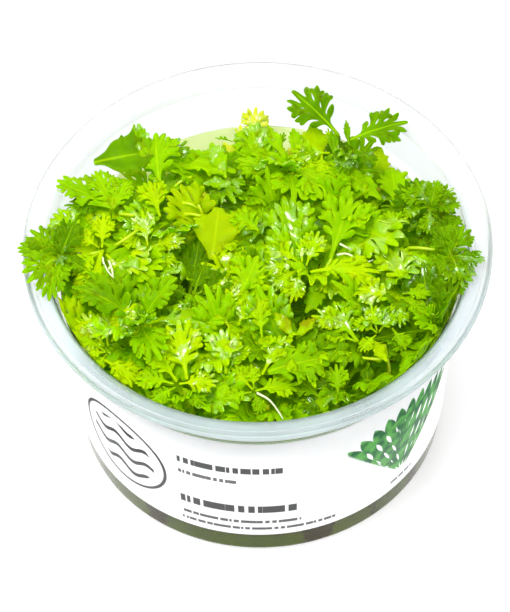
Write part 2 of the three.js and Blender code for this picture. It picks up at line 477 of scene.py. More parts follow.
def gelMatter():
    graph = Graph("gelMatter")
    place = graph.place()
    across, deep, _ = graph.axes(place)
    turn = across.calc("ARCTAN2", 0 - deep) * cup["footRadius"]
    fray = (graph.noise(place, 500) - 0.5) * 6
    patch = graph.soft(graph.noise(place, 120), 0.6, 0.68) * 0.5
    for spot, half in gel["stains"]:
        patch = patch.calc("MAXIMUM", 1 - graph.soft(abs(turn - spot + fray), half - 0.8, half + 0.8))
    # the olive is partly the gel's own tint and partly painted shade and green of the leaves and stems that
    # stand in it
    olive = graph.mix(graph.noise(place, 70, 3), colour(80, 98, 0), colour(100, 114, 0))
    stained = graph.mix(patch * 0.85, olive, colour(66, 46, 12))
    return graph.surface({"Base Color": stained, "Roughness": 0.6, "Specular IOR Level": 0.0})


def gelForm():
    def side(height):
        return wallRadius(height) - cup["wall"] + gel["grip"]
    floor = cup["wall"] - gel["grip"]
    top = gel["top"]
    edge = (side(top), top)
    profile = [(0, floor)] + roundCorner((0, floor), (side(floor) - 0.1, floor), edge, 1.2) + [
        edge, (side(top) - 1.2, top - 0.6), (side(top) - 5, top - 0.8), (0, top - 0.8)]
    return spun(profile, gel["turns"])


addPiece("gelDisc", meshOf(gelForm(), "gelDisc"), gelMatter(), "nutrient_gel", "gel")
print("gel made")


# Leaves: a leaf's cage is a strip of quads along +X, at length 1, with lobes drawn out of its sides
leafKinds = {
    # a lobe is its column, length, angle off the midrib, width and the length of its teeth
    "feather": {
        "width": [0.028, 0.025, 0.026, 0.03, 0.046, 0.066, 0.078, 0.088, 0.09, 0.086, 0.075, 0.06, 0.042],
        "lobes": [(4, 0.19, 60, 0.094, 0), (6, 0.29, 53, 0.106, 0.07), (8, 0.3, 43, 0.106, 0.08),
                  (10, 0.24, 28, 0.094, 0)],
        "tip": 0.2,
    },
    "fan": {
        "width": [0.034, 0.03, 0.032, 0.036, 0.045, 0.062, 0.08, 0.1, 0.115, 0.12, 0.11, 0.085, 0.05],
        "lobes": [(5, 0.18, 64, 0.094, 0), (7, 0.28, 54, 0.106, 0.08), (9, 0.3, 38, 0.106, 0.1),
                  (11, 0.21, 18, 0.094, 0)],
        "tip": 0.2,
    },
    "full": {
        "width": [0.05, 0.06, 0.08, 0.095, 0.105, 0.11, 0.115, 0.115, 0.11, 0.1, 0.09, 0.07, 0.045],
        "lobes": [(3, 0.17, 62, 0.08, 0), (5, 0.23, 54, 0.09, 0.06), (7, 0.26, 46, 0.09, 0.07),
                  (9, 0.25, 34, 0.09, 0.06), (11, 0.18, 16, 0.075, 0)],
        "tip": 0.18,
    },
    "broad": {
        "width": [0.045, 0.045, 0.055, 0.08, 0.12, 0.16, 0.19, 0.205, 0.205, 0.19, 0.16, 0.12, 0.06],
        "lobes": [(5, 0.09, 52, 0.085, 0), (7, 0.12, 42, 0.09, 0), (9, 0.13, 32, 0.09, 0),
                  (11, 0.10, 18, 0.06, 0)],
        "tip": 0.14,
    },
    "smooth": {
        "width": [0.04, 0.045, 0.07, 0.11, 0.15, 0.18, 0.2, 0.21, 0.205, 0.185, 0.15, 0.11, 0.06],
        "lobes": [(6, 0.035, 40, 0.06, 0), (8, 0.045, 34, 0.06, 0), (10, 0.05, 26, 0.06, 0)],
        "tip": 0.1,
    },
    "sprout": {
        "width": [0.05, 0.045, 0.05, 0.07, 0.085, 0.085, 0.075, 0.05],
        "lobes": [(3, 0.22, 46, 0.11, 0), (5, 0.22, 32, 0.10, 0)],
        "tip": 0.22,
    },
}


# How a lobe narrows, as parts of its length and width, and the teeth on its flanks
lobe = {
    "steps": [(0.36, 1.0), (0.72, 0.95), (1.0, 0.28)],
    "toothStep": 1,
    "toothTurn": 32,
    "toothWidth": 0.7,
}


def middleOf(edge):
    return (edge.verts[0].co + edge.verts[1].co) / 2


def newParts(made):
    # the vertices that an extrusion made, and the edges that join them
    verts = [v for v in made if isinstance(v, bmesh.types.BMVert)]
    edges = [e for e in made if isinstance(e, bmesh.types.BMEdge) and all(v in verts for v in e.verts)]
    return verts, edges


def stretchEdge(cage, edge, target, across, half):
    # extrudes an edge to a new one of the given half width, centred on target
    middle = middleOf(edge)
    verts, edges = newParts(bmesh.ops.extrude_edge_only(cage, edges=[edge])["geom"])
    for v in verts:
        side = 1 if (v.co - middle).dot(across) > 0 else -1
        v.co = target + across * side * half
    return edges[0]


def drawOut(cage, edge, angle, length, width, tooth):
    # draws a pointed lobe out of a side edge, with a tooth on each flank where one is wanted
    way = Vector((math.cos(angle), math.sin(angle), 0))
    across = Vector((-way.y, way.x, 0))
    start = middleOf(edge)
    for i, (share, spread) in enumerate(lobe["steps"]):
        old = list(edge.verts)
        edge = stretchEdge(cage, edge, start + way * length * share, across, width * spread / 2)
        if tooth and i == lobe["toothStep"]:
            for flank in [e for v in edge.verts for e in v.link_edges if e.other_vert(v) in old]:
                side = 1 if (middleOf(flank) - start).dot(across) > 0 else -1
                turned = angle + side * math.radians(lobe["toothTurn"])
                drawOut(cage, flank, turned, tooth, width * lobe["toothWidth"], 0)


def leafCage(kind):
    count = len(kind["width"]) - 1
    stretch = (1 - kind["tip"]) / count
    cage = bmesh.new()
    bmesh.ops.create_grid(cage, x_segments=count, y_segments=2, size=0.5)
    for v in cage.verts:
        column = round((v.co.x + 0.5) * count)
        v.co = Vector((column / count * (1 - kind["tip"]), round(v.co.y * 2) * kind["width"][column], 0))
    flanks = []
    for column, length, angle, width, tooth in kind["lobes"]:
        for side in (-1, 1):
            for edge in cage.edges:
                middle = middleOf(edge)
                near = abs(middle.x - (column + 0.5) * stretch) < stretch * 0.2
                if edge.is_boundary and near and middle.y * side > 0:
                    flanks.append((edge, math.radians(angle) * side, length, width, tooth))
    for flank in flanks:
        drawOut(cage, *flank)
    last = stretch * count
    ends = [e for e in cage.edges if e.is_boundary and all(abs(v.co.x - last) < 1e-5 for v in e.verts)]
    for share, spread in ((0.5, 1.0), (0.5, 0.5)):
        tips, ends = newParts(bmesh.ops.extrude_edge_only(cage, edges=ends)["geom"])
        for v in tips:
            v.co.x += kind["tip"] * share
            v.co.y *= spread
    return cage


def leafTemplate(name):
    mesh = meshOf(leafCage(leafKinds[name]), name + "Cage")
    shape = bpy.data.objects.new(name + "Cage", mesh)
    bpy.context.collection.objects.link(shape)
    smooth = shape.modifiers.new("smooth", "SUBSURF")
    smooth.levels = smooth.render_levels = 1
    bpy.context.view_layer.update()
    done = bpy.data.meshes.new_from_object(shape.evaluated_get(bpy.context.evaluated_depsgraph_get()))
    bpy.data.objects.remove(shape)
    form = bmesh.new()
    form.from_mesh(done)
    flat = form.loops.layers.uv.new("leafPlan")
    tone = form.verts.layers.float_color.new("leafTone")
    for face in form.faces:
        for loop in face.loops:
            loop[flat].uv = loop.vert.co.xy
    for v in form.verts:
        v[tone] = (0, 0, 0 if v.is_boundary else 1, 0)
    form.to_mesh(done)
    form.free()
    return done


leafTemplates = {name: leafTemplate(name) for name in leafKinds}
print("leaf templates:", {name: len(mesh.polygons) for name, mesh in leafTemplates.items()})

# What leaves keep clear of: the wall below the mouth and the flange above it
room = {
    "clear": 0.45,
    "overFlange": 59.0,
    "widest": 50.9,
}


def keptInside(spot, hangs):
    # moves a point of a leaf off the wall and, for a leaf that hangs over the flange, up off it
    x, y, z = spot / mm
    radius = math.hypot(x, y)
    if hangs and z >= cup["mouthHeight"] + 1.2 and radius > cup["mouthRadius"] - room["clear"]:
        z = max(z, room["overFlange"])
        limit = room["widest"]
    elif z > cup["stepHeight"]:
        share = (z - cup["stepHeight"]) / (cup["mouthHeight"] - cup["stepHeight"])
        low = cup["stepRadius"] - cup["wall"]
        limit = low + (cup["mouthRadius"] - low) * min(share, 1) - room["clear"]
    else:
        limit = wallRadius(z) - cup["wall"] - room["clear"]
    if radius > limit:
        x, y = x * limit / radius, y * limit / radius
    return Vector((x, y, z)) * mm


# A leaf's blade: how thick it is and, in parts of its length, how far it ruffles and droops
blade = {
    "thick": 0.2 * mm,
    "ruffle": 0.035,
    "droop": 0.35,
    # how often each wave comes along and across the leaf, and how far the leaf's tone shifts it
    "waves": [(17, 13, 60), (8, -19, 30)],
}


def growLeaf(form, kind, base, tip, wide, bend, roll, fold, tone, hangs=False):
    # bends a template leaf along an arc from base to tip, folds it on its midrib and adds it
    bend, roll = math.radians(bend), math.radians(roll)
    chord = tip - base
    half = bend / 2
    length = chord.length * half / math.sin(half)
    along = chord.normalized()
    sideways = Matrix.Rotation(roll, 3, along) @ Vector((0, 0, 1)).cross(along).normalized()
    above = along.cross(sideways)
    first = len(form.verts)
    form.from_mesh(leafTemplates[kind])
    form.verts.ensure_lookup_table()
    layer = form.verts.layers.float_color["leafTone"]
    yellow, wet, brown = tone
    for v in form.verts[first:]:
        u, side, _ = v.co
        lean = half - bend * u
        out = (math.sin(half) - math.sin(lean)) / bend
        rise = (math.cos(lean) - math.cos(half)) / bend
        ruffle = sum(math.sin(u * onward + side * outward + own * shift)
                     for (onward, outward, shift), own in zip(blade["waves"], (yellow, wet)))
        lift = fold * abs(side) + blade["ruffle"] * ruffle * min(abs(side) * 7, 1)
        lift -= blade["droop"] * side * side
        out -= lift * math.sin(lean)
        rise += lift * math.cos(lean)
        spot = base + (along * out + above * rise + sideways * side * wide) * length
        v.co = keptInside(spot, hangs)
        v[layer] = (yellow, wet, v[layer][2], brown)


# Each shoot: its rosette's middle and leaf length in mm, its turn, how yellow and how much paler it is
Shoot = namedtuple("Shoot", "at leaf turn yellow paler", defaults=[0])
shoots = {
    "far_left": Shoot((-42, -1, 59), 9.5, 30, 0.25),
    "left": Shoot((-32, 0, 58), 13, 60, 0.55, 0.25),
    "left_fan": Shoot((-31, 13, 56), 13, 20, 0.4, 0.05),
    "left_rim": Shoot((-35, -17, 55), 13, 50, 0.5, 0.3),
    "back_left": Shoot((-19, 24, 56), 14, 0, 0.35, 0.1),
    "back": Shoot((-6, 22, 56), 14, 35, 0.45),
    "back_pale": Shoot((-1, 32, 51), 11, 18, 1.0),
    "back_right": Shoot((7, 21, 56), 14, 10, 0.45),
    "tall_right": Shoot((19, 24, 59), 13, 55, 0.3),
    "yellow_back": Shoot((29, 22, 52), 12, 25, 0.8),
    "right_back": Shoot((37, 11, 57), 10, 45, 0.25),
    "far_right": Shoot((41, -4, 59), 9, 20, 0.15),
    "right": Shoot((30, -7, 57), 14, 65, 0.45, 0.08),
    "right_middle": Shoot((20, 8, 57), 15, 40, 0.5),
    "middle_back": Shoot((5, 9, 56), 14, 5, 0.45, -0.12),
    "yellow_middle": Shoot((-9, 8, 54), 14, 50, 0.8),
    "left_middle": Shoot((-20, 6, 57), 14, 15, 0.45, 0.15),
    "bright_middle": Shoot((10, -5, 59), 15, 35, 0.7),
    "middle": Shoot((-3, -8, 57), 14, 60, 0.5, 0.06),
    "star": Shoot((-15, -9, 56), 13, 25, 0.3, -0.25),
    "left_front": Shoot((-25, -19, 56), 14, 5, 0.35),
    "front_left": Shoot((-16, -32, 54), 14, 55, 0.5, 0.06),
    "front_middle_left": Shoot((-8, -21, 57), 14, 30, 0.55),
    "front_middle": Shoot((5, -23, 57), 14, 10, 0.5, -0.03),
    "front": Shoot((1, -36, 53), 13, 45, 0.45),
    "front_right": Shoot((17, -31, 54), 14, 20, 0.45, -0.2),
    "right_front": Shoot((22, -17, 57), 14, 50, 0.5),
    "right_rim": Shoot((36, -20, 54), 12, 0, 0.2),
}

# Leaves placed from the photograph, by shoot and kind
seenLeaves = {
    # a leaf: base and tip as across, down and height in mm; yellow; width and brown where not 1 and 0
    "tall_right": [
        ("feather", (339, 136, 59, 292, 91, 62, 0.08, 1.05), (348, 141, 60, 408, 122, 61, 0.12)),
        ("smooth", (349, 145, 60, 346, 120, 62, 0.12, 0.55), (336, 156, 58, 331, 131, 59, 0.15, 0.8),
         (318, 160, 55, 311, 126, 56, 0.74, 1.5)),
        ("sprout", (330, 146, 56, 328, 128, 57, 0.74, 0.8)),
        ("smooth", (297, 160, 57, 293, 129, 58, 0.5, 0.8)),
        ("feather", (330, 153, 58, 287, 158, 58, 0.62), (322, 154, 58, 319, 184, 57, 0.7, 1.1),
         (318, 160, 58, 288, 176, 57, 0.74), (352, 150, 60, 338, 172, 60, 0.06),
         (357, 150, 60, 376, 165, 61, 0.06, 0.9)),
        ("smooth", (328, 162, 57, 381, 200, 55, 0.42, 0.8)),
        ("fan", (345, 156, 59, 333, 194, 57, 0.3))],
    "yellow_back": [
        ("smooth", (371, 184, 50, 381, 149, 53, 0.88, 1.5)),
        ("broad", (396, 206, 51, 391, 168, 52, 0.6, 1.3)),
        ("fan", (372, 192, 53, 360, 166, 53, 0.5))],
    "right_back": [
        ("full", (431, 208, 59, 438, 180, 62, 0.16, 1.1), (428, 205, 59, 461, 206, 60, 0.12)),
        ("feather", (429, 207, 59, 454, 188, 61, 0.1, 1.2), (431, 207, 59, 401, 189, 60, 0.2, 1.2),
         (430, 208, 59, 415, 180, 61, 0.2, 1.2)),
        ("fan", (428, 207, 58, 403, 216, 57, 0.35), (430, 209, 58, 427, 234, 57, 0.25)),
        ("broad", (432, 211, 57, 455, 226, 57, 0.08, 1.2)),
        ("sprout", (430, 205, 61, 424, 198, 63, 0.0, 1.3), (431, 206, 61, 439, 200, 63, 0.0, 1.3)),
        ("full", (440, 208, 57, 452, 243, 57, 0.1, 1.2))],
    "far_right": [
        ("full", (448, 255, 60, 485, 261, 61, 0.1)),
        ("feather", (450, 260, 60, 464, 225, 62, 0.1, 1.2), (449, 251, 60, 463, 288, 60, 0.12, 1.2)),
        ("full", (452, 260, 60, 440, 227, 61, 0.08)),
        ("sprout", (452, 256, 60, 459, 247, 62, 0.0), (451, 257, 60, 446, 263, 62, 0.0)),
        ("feather", (454, 252, 60, 432, 277, 60, 0.2, 1.2)),
        ("full", (453, 262, 58, 449, 302, 58, 0.06, 1.1)),
        ("broad", (448, 285, 57, 447, 322, 56, 0.1, 1.15))],
    "right": [
        ("fan", (407, 291, 57, 388, 248, 59, 0.6, 1.2)),
        ("smooth", (436, 284, 57, 413, 254, 58, 0.42, 1.1)),
        ("feather", (404, 262, 56, 396, 234, 57, 0.12), (397, 299, 58, 351, 287, 59, 0.72, 1.1),
         (400, 297, 58, 427, 315, 57, 0.25), (402, 294, 58, 432, 292, 58, 0.35),
         (399, 300, 58, 400, 328, 57, 0.35))],
    "right_middle": [
        ("fan", (330, 260, 58, 352, 197, 61, 0.45), (340, 240, 58, 386, 216, 58, 0.35, 1.1),
         (398, 240, 56, 388, 211, 58, 0.45, 1.3)),
        ("feather", (352, 262, 57, 384, 244, 57, 0.3, 0.9))],
    "bright_middle": [
        ("feather", (306, 266, 60, 319, 231, 63, 0.7)),
        ("sprout", (302, 262, 61, 301, 238, 63, 0.7)),
        ("feather", (301, 264, 60, 265, 246, 60, 0.68), (300, 267, 60, 262, 268, 59, 0.6),
         (300, 269, 60, 269, 289, 58, 0.64), (302, 271, 60, 290, 304, 58, 0.7),
         (310, 272, 60, 381, 273, 59, 0.72, 0.75)),
        ("smooth", (331, 276, 58, 306, 313, 54, 0.45))],
    "middle_back": [
        ("fan", (316, 245, 57, 294, 213, 59, 0.64, 1.1)),
        ("feather", (264, 236, 57, 230, 212, 58, 0.6), (262, 238, 56, 289, 204, 57, 0.35),
         (268, 244, 56, 236, 250, 57, 0.3)),
        ("fan", (270, 240, 55, 258, 208, 56, 0.5))],
    "middle": [
        ("fan", (238, 304, 57, 258, 256, 59, 0.5, 1.2)),
        ("feather", (230, 329, 57, 212, 298, 59, 0.74, 1.2), (238, 326, 57, 250, 297, 60, 0.66),
         (226, 312, 57, 232, 276, 58, 0.72))],
    "front_middle": [
        ("feather", (262, 338, 57, 258, 292, 61, 0.62, 0.8)),
        ("fan", (262, 375, 57, 286, 336, 59, 0.66)),
        ("full", (268, 372, 59, 330, 358, 59, 0.3, 1.25)),
        ("smooth", (294, 338, 58, 275, 313, 60, 0.7, 0.9, 0.9), (296, 339, 58, 316, 318, 60, 0.7, 1.0, 0.9))],
    "right_front": [
        ("fan", (358, 342, 57, 328, 306, 59, 0.55)),
        ("feather", (354, 328, 58, 311, 316, 59, 0.62, 0.9), (357, 342, 57, 320, 329, 57, 0.55, 0.9),
         (354, 354, 55, 317, 350, 56, 0.5, 0.9), (377, 333, 58, 352, 320, 59, 0.62),
         (377, 331, 58, 371, 305, 60, 0.6), (379, 332, 58, 394, 311, 59, 0.45),
         (376, 335, 58, 360, 352, 57, 0.6)),
        ("smooth", (387, 362, 55, 373, 341, 57, 0.74, 1.3)),
        ("fan", (392, 328, 57, 406, 350, 55, 0.35, 1.2))],
    "front": [
        ("feather", (255, 391, 56, 300, 384, 56, 0.62), (253, 390, 56, 229, 366, 57, 0.64),
         (254, 389, 56, 251, 364, 58, 0.6), (252, 392, 56, 222, 401, 55, 0.5),
         (254, 393, 56, 262, 414, 54, 0.35))],
    "front_right": [
        ("fan", (322, 400, 53, 297, 378, 54, 0.5, 1.2)),
        ("feather", (338, 396, 53, 336, 364, 56, 0.56, 1.2), (322, 396, 53, 321, 377, 55, 0.45)),
        ("smooth", (368, 386, 50, 366, 364, 52, 0.3, 1.3)),
        ("feather", (350, 398, 52, 378, 389, 52, 0.1, 1.1), (330, 402, 52, 298, 408, 52, 0.2, 1.1)),
        ("smooth", (341, 429, 46, 364, 419, 46.5, 0.35, 0.6), (176, 434, 46, 193, 430, 46, 0.4, 0.4))],
    "front_left": [
        ("feather", (177, 382, 57, 147, 349, 58, 0.62), (174, 384, 57, 134, 379, 56, 0.5),
         (179, 384, 57, 219, 381, 57, 0.68), (187, 380, 57, 178, 319, 61, 0.66, 1.05),
         (176, 387, 56, 150, 402, 55, 0.35), (182, 388, 56, 206, 406, 55, 0.2)),
        ("sprout", (197, 352, 57, 193, 330, 59, 0.6))],
    "front_middle_left": [
        ("fan", (226, 374, 57, 221, 329, 60, 0.62, 1.2)),
        ("feather", (228, 371, 57, 249, 346, 58, 0.6), (224, 372, 57, 204, 362, 57, 0.66)),
        ("smooth", (219, 406, 54, 227, 383, 56, 0.55, 1.3))],
    "left_rim": [
        ("feather", (112, 342, 57, 131, 300, 59, 0.7)),
        ("fan", (140, 356, 55, 151, 324, 57, 0.42, 1.2)),
        ("feather", (106, 352, 55, 69, 331, 56, 0.35), (107, 354, 55, 93, 371, 54, 0.35),
         (104, 346, 56, 82, 313, 57, 0.5, 1.1), (106, 352, 56, 82, 356, 55, 0.45),
         (108, 346, 56, 104, 311, 58, 0.45), (104, 360, 55, 140, 385, 54, 0.5))],
    "far_left": [
        ("full", (63, 257, 60, 17, 248, 61, 0.24, 0.95)),
        ("feather", (62, 259, 60, 30, 230, 61, 0.16, 1.2), (63, 252, 60, 27, 283, 61, 0.24, 1.2)),
        ("full", (61, 251, 60, 49, 301, 60, 0.2, 0.95)),
        ("fan", (86, 240, 58, 53, 214, 59, 0.52, 1.1)),
        ("full", (59, 260, 60, 75, 221, 61, 0.05), (56, 253, 60, 84, 270, 60, 0.12)),
        ("sprout", (58, 256, 61, 49, 247, 63, 0.0, 1.3), (58, 254, 61, 63, 265, 63, 0.0, 1.3),
         (60, 257, 61, 66, 246, 63, 0.0, 1.3))],
    "left": [
        ("fan", (102, 251, 59, 90, 306, 57, 0.52, 1.1)),
        ("feather", (102, 248, 59, 104, 213, 61, 0.55), (106, 254, 58, 134, 290, 57, 0.5),
         (99, 248, 59, 74, 232, 60, 0.5), (99, 253, 59, 72, 276, 58, 0.45))],
    "left_fan": [
        ("full", (114, 209, 58, 57, 183, 58, 0.3), (114, 208, 58, 95, 171, 59, 0.4),
         (111, 210, 58, 129, 179, 59, 0.42)),
        ("feather", (108, 211, 56, 64, 206, 56, 0.15, 0.9))],
    "left_middle": [
        ("fan", (128, 258, 58, 151, 282, 57, 0.55, 1.1)),
        ("feather", (148, 246, 58, 142, 210, 60, 0.5), (150, 248, 58, 186, 238, 59, 0.6),
         (149, 250, 58, 176, 268, 58, 0.45), (146, 250, 58, 118, 238, 58, 0.55))],
    "back_left": [
        ("smooth", (94, 163, 60, 158, 152, 60, 0.0, 1.5), (134, 152, 60, 134, 124, 62, 0.08, 0.55),
         (147, 168, 59, 138, 124, 62, 0.2, 0.7)),
        ("fan", (160, 190, 58, 156, 133, 61, 0.35, 1.1)),
        ("feather", (161, 165, 59, 187, 141, 60, 0.1, 1.1)),
        ("smooth", (166, 156, 58, 236, 172, 56, 0.42), (226, 178, 57, 211, 143, 58, 0.38, 0.9)),
        ("sprout", (150, 202, 54, 127, 196, 55, 0.05, 1.2)),
        ("fan", (160, 217, 57, 149, 181, 59, 0.6, 1.1))],
    "back": [
        ("fan", (280, 162, 58, 237, 134, 59, 0.42, 1.1), (264, 172, 57, 250, 124, 60, 0.42, 1.1)),
        ("smooth", (286, 158, 58, 262, 127, 60, 0.42, 0.75)),
        ("sprout", (281, 147, 57, 284, 132, 58, 0.2)),
        ("smooth", (236, 186, 56, 203, 184, 56, 0.4, 0.9)),
        ("sprout", (233, 142, 54, 215, 138, 54, 0.3, 0.5))],
    "back_pale": [
        ("feather", (253, 141, 48, 256, 107, 52, 1.0, 1.3)),
        ("sprout", (243, 150, 49, 240, 125, 50, 1.0, 1.1)),
        ("smooth", (235, 170, 44, 224, 143, 46, 1.0, 1.3))],
    "yellow_middle": [
        ("smooth", (212, 260, 56, 219, 208, 58, 0.87, 1.7), (209, 226, 54, 176, 192, 54, 0.87, 1.2),
         (216, 212, 53, 196, 190, 54, 1.0, 0.9)),
        ("feather", (214, 257, 56, 238, 236, 57, 0.62, 0.9))],
    "star": [
        ("feather", (194, 296, 58, 207, 262, 59, 0.28), (194, 296, 58, 233, 278, 58, 0.3),
         (192, 297, 58, 166, 287, 59, 0.28), (193, 299, 58, 182, 328, 58, 0.25),
         (196, 299, 58, 214, 318, 58, 0.3)),
        ("sprout", (194, 297, 60, 199, 304, 62, 0.5), (193, 296, 60, 186, 300, 62, 0.45))],
}

# Marks in the photograph that guide the leaves which aren't placed one by one
guide = {
    # how high they reach, as (across, down), and how far below it they stay
    "skyline": [(20, 232), (60, 192), (104, 184), (108, 206), (146, 208), (150, 152), (185, 152),
                (232, 164), (240, 142), (262, 142), (300, 142), (345, 146), (385, 168), (430, 196),
                (466, 240), (490, 270)],
    "margin": 5,
    # round places, as (across, down, radius): dark gaps, leaves that nothing else covers, wet places
    "gaps": [(203, 358, 9), (284, 305, 15), (312, 207, 9), (406, 352, 11), (376, 373, 11), (266, 180, 9),
             (118, 341, 6), (129, 293, 8), (343, 288, 7), (385, 280, 6), (364, 252, 8), (128, 226, 7),
             (150, 312, 9), (258, 361, 6), (268, 404, 7), (140, 390, 6), (314, 408, 7)],
    "clearings": [(217, 232, 18), (206, 202, 12), (295, 326, 16), (125, 148, 14)],
    "dew": [(220, 348, 24), (180, 338, 20), (122, 320, 20), (74, 229, 13), (100, 220, 10), (172, 150, 8),
            (292, 282, 16), (384, 318, 18), (377, 290, 12), (243, 322, 12), (264, 230, 14), (150, 230, 12),
            (190, 290, 10), (172, 252, 14), (232, 288, 12), (258, 158, 9), (120, 265, 10), (210, 385, 14),
            (330, 318, 12), (276, 262, 12)],
    "stray": {"share": 0.2, "wet": 0.6},
}

# How a shoot's other leaves fill up round and below the placed ones
rosette = {
    # kind, how many, lift in degrees and share of the shoot's leaf length
    "whorls": [("lobed", 6, 18, 1.0), ("lobed", 2, 46, 0.85), ("sprout", 3, 68, 0.5)],
    "seenWhorls": [("lobed", 5, 18, 1.0), ("lobed", 2, 46, 0.85)],
    "lobed": ["feather", "feather", "fan"],
    "seenSink": 6.5,
    # hidden leaves: their depth in mm and kind
    "levels": [(6, "feather"), (13, "sprout"), (21, "sprout")],
    "perLevel": 4,
    "larger": 1.25,
    "golden": 137.5,
    "seed": 31,
    # how wide and how brown a placed leaf is where its row doesn't say
    "usual": (1, 0),
    # a placed leaf from keepsTone up is as yellow as stated, and only ripe shoots pass mostYellow
    "keepsTone": 0.72,
    "mostYellow": 0.76,
    "ripe": 0.78,
}

# How placed, filling and hidden leaves vary: a pair is the range of a random draw
placed = {"tint": (-0.03, 0.03), "bend": (14, 44), "roll": (-14, 14), "fold": (0.05, 0.4)}
filling = {"turn": (-14, 14), "lift": (-14, 20), "length": (0.85, 1.12), "height": (-1.5, 0.5),
           "tint": (-0.3, 0.2), "wide": (0.8, 1.1), "bend": (15, 75), "roll": (-32, 32), "fold": (0, 0.55)}
hidden = {"lift": (5, 35), "tint": (0.1, 0.6), "wide": 1.1, "bend": 30, "fold": 0.2}

# The leaves' colours
leafTint = {
    "shaded": colour(78, 120, 0),
    "green": colour(142, 197, 0),
    "lime": colour(178, 219, 0),
    "ripe": colour(160, 194, 0),
    "golden": colour(214, 230, 52),
    "edge": colour(172, 222, 0),
    "rib": colour(196, 236, 10),
    "old": colour(134, 124, 0),
    # wet: a pale mint painted sheen laid on wet patches
    "wet": colour(150, 244, 60),
}


def leafMatter():
    graph = Graph("leafMatter")
    tone = {"attribute_name": "leafTone"}
    yellow, wet, inner = graph.split("SeparateColor", "Color", graph.add("Attribute", tone, out="Color"))
    brown = graph.add("Attribute", tone, out="Alpha")
    along, across, _ = graph.axes(graph.add("UVMap", {"uv_map": "leafPlan"}))
    place = graph.place()
    # lower leaves are painted darker by their height: painted shade
    depth = 1 - graph.soft(graph.axes(place)[2] / mm, 47, 58)
    mottle = graph.noise(place, 200)
    cells = graph.noise(place, 1400)
    rib = 1 - graph.soft(abs(across) + along * 0.012, 0.006, 0.026)
    # from green to yellow, with lower leaves painted darker: painted shade
    leafy = yellow + (mottle - 0.5) * 0.35 - depth * 0.1
    blend = graph.mix(graph.soft(leafy, -0.05, 0.5), leafTint["shaded"], leafTint["green"])
    blend = graph.mix(graph.soft(leafy, 0.45, 0.85), blend, leafTint["lime"])
    blend = graph.mix(graph.soft(yellow, 0.78, 0.83), blend, leafTint["ripe"])
    blend = graph.mix(graph.soft(yellow, 0.9, 0.96), blend, leafTint["golden"])
    # a paler midrib and edge, and brown on old leaves
    edged = graph.mix(inner * 0.2, leafTint["edge"], blend)
    ribbed = graph.mix(rib * 0.42, blend, leafTint["rib"])
    ribbed = graph.mix((1 - inner) * 0.15, ribbed, edged)
    stained = graph.mix(brown * graph.soft(mottle, 0.3, 0.6), ribbed, leafTint["old"])
    # a broken film of water: it raises the coat, and a pale mint painted sheen is laid into the base colour
    filmAndSheen = wet * graph.soft(graph.noise(place, 450, 1), 0.5, 0.56) * graph.soft(along, 0.12, 0.3)
    return graph.surface({
        "Base Color": graph.mix(filmAndSheen * 0.14, stained, leafTint["wet"]),
        "Roughness": 0.45,
        "Specular IOR Level": 0.03,
        "Coat Weight": filmAndSheen,
        "Coat Roughness": 0.26,
        "Coat IOR": 2.3,
        "Subsurface Weight": 0.65,
        "Subsurface Scale": 1.2 * mm,
        "Subsurface Radius": (0.6, 1.0, 0.1),
        # a faint painted glow: the leaf's colour given off as light, standing in for light through the leaves
        "Emission Color": stained,
        "Emission Strength": 0.06,
        "Normal": graph.bump(0.14, 0.25, cells * 0.4 + mottle * 0.6 + rib * 0.8),
    })


def towards(angle, lift):
    turn, rise = math.radians(angle), math.radians(lift)
    return Vector((math.cos(turn) * math.cos(rise), math.sin(turn) * math.cos(rise), math.sin(rise)))


def anyWithin(rounds, *spots):
    return any(math.dist((x, y), spot) < size for x, y, size in rounds for spot in spots)


def underSkyline(root, tip):
    # the tip drawn in until it is seen below the skyline and clear of the gaps, or nothing
    for share in (1, 0.8, 0.6):
        way = (tip - root) * share
        across, down = photoSpot(root + way)
        if anyWithin(guide["gaps"] + guide["clearings"], (across, down), photoSpot(root + way * 0.6)):
            continue
        for (left, low), (right, high) in zip(guide["skyline"], guide["skyline"][1:]):
            limit = low + (high - low) * (across - left) / (right - left)
            if left <= across <= right and down > limit + guide["margin"]:
                return root + way
    return None


def wetness(base, tip, chance):
    if anyWithin(guide["dew"], photoSpot((base + tip) / 2)):
        return 1
    return guide["stray"]["wet"] if chance.random() < guide["stray"]["share"] else 0


def clamped(value, most):
    return min(max(value, 0), most)


def drawn(chance, ranges, *keys):
    return [chance.uniform(*ranges[key]) for key in keys]


def placeLeaves(form, seen, paler, chance):
    for kind, leaf in [(kind, leaf) for kind, *leaves in seen for leaf in leaves]:
        base, tip = photoPoint(*leaf[:3]), photoPoint(*leaf[3:6])
        yellow, wide, brown = leaf[6:] + rosette["usual"][len(leaf) - 7:]
        if yellow < rosette["keepsTone"]:
            yellow = clamped(yellow + paler + chance.uniform(*placed["tint"]), rosette["mostYellow"])
        tone = (yellow, wetness(base, tip, chance), brown)
        posture = drawn(chance, placed, "bend", "roll", "fold")
        growLeaf(form, kind, base, tip, wide, *posture, tone, hangs=True)


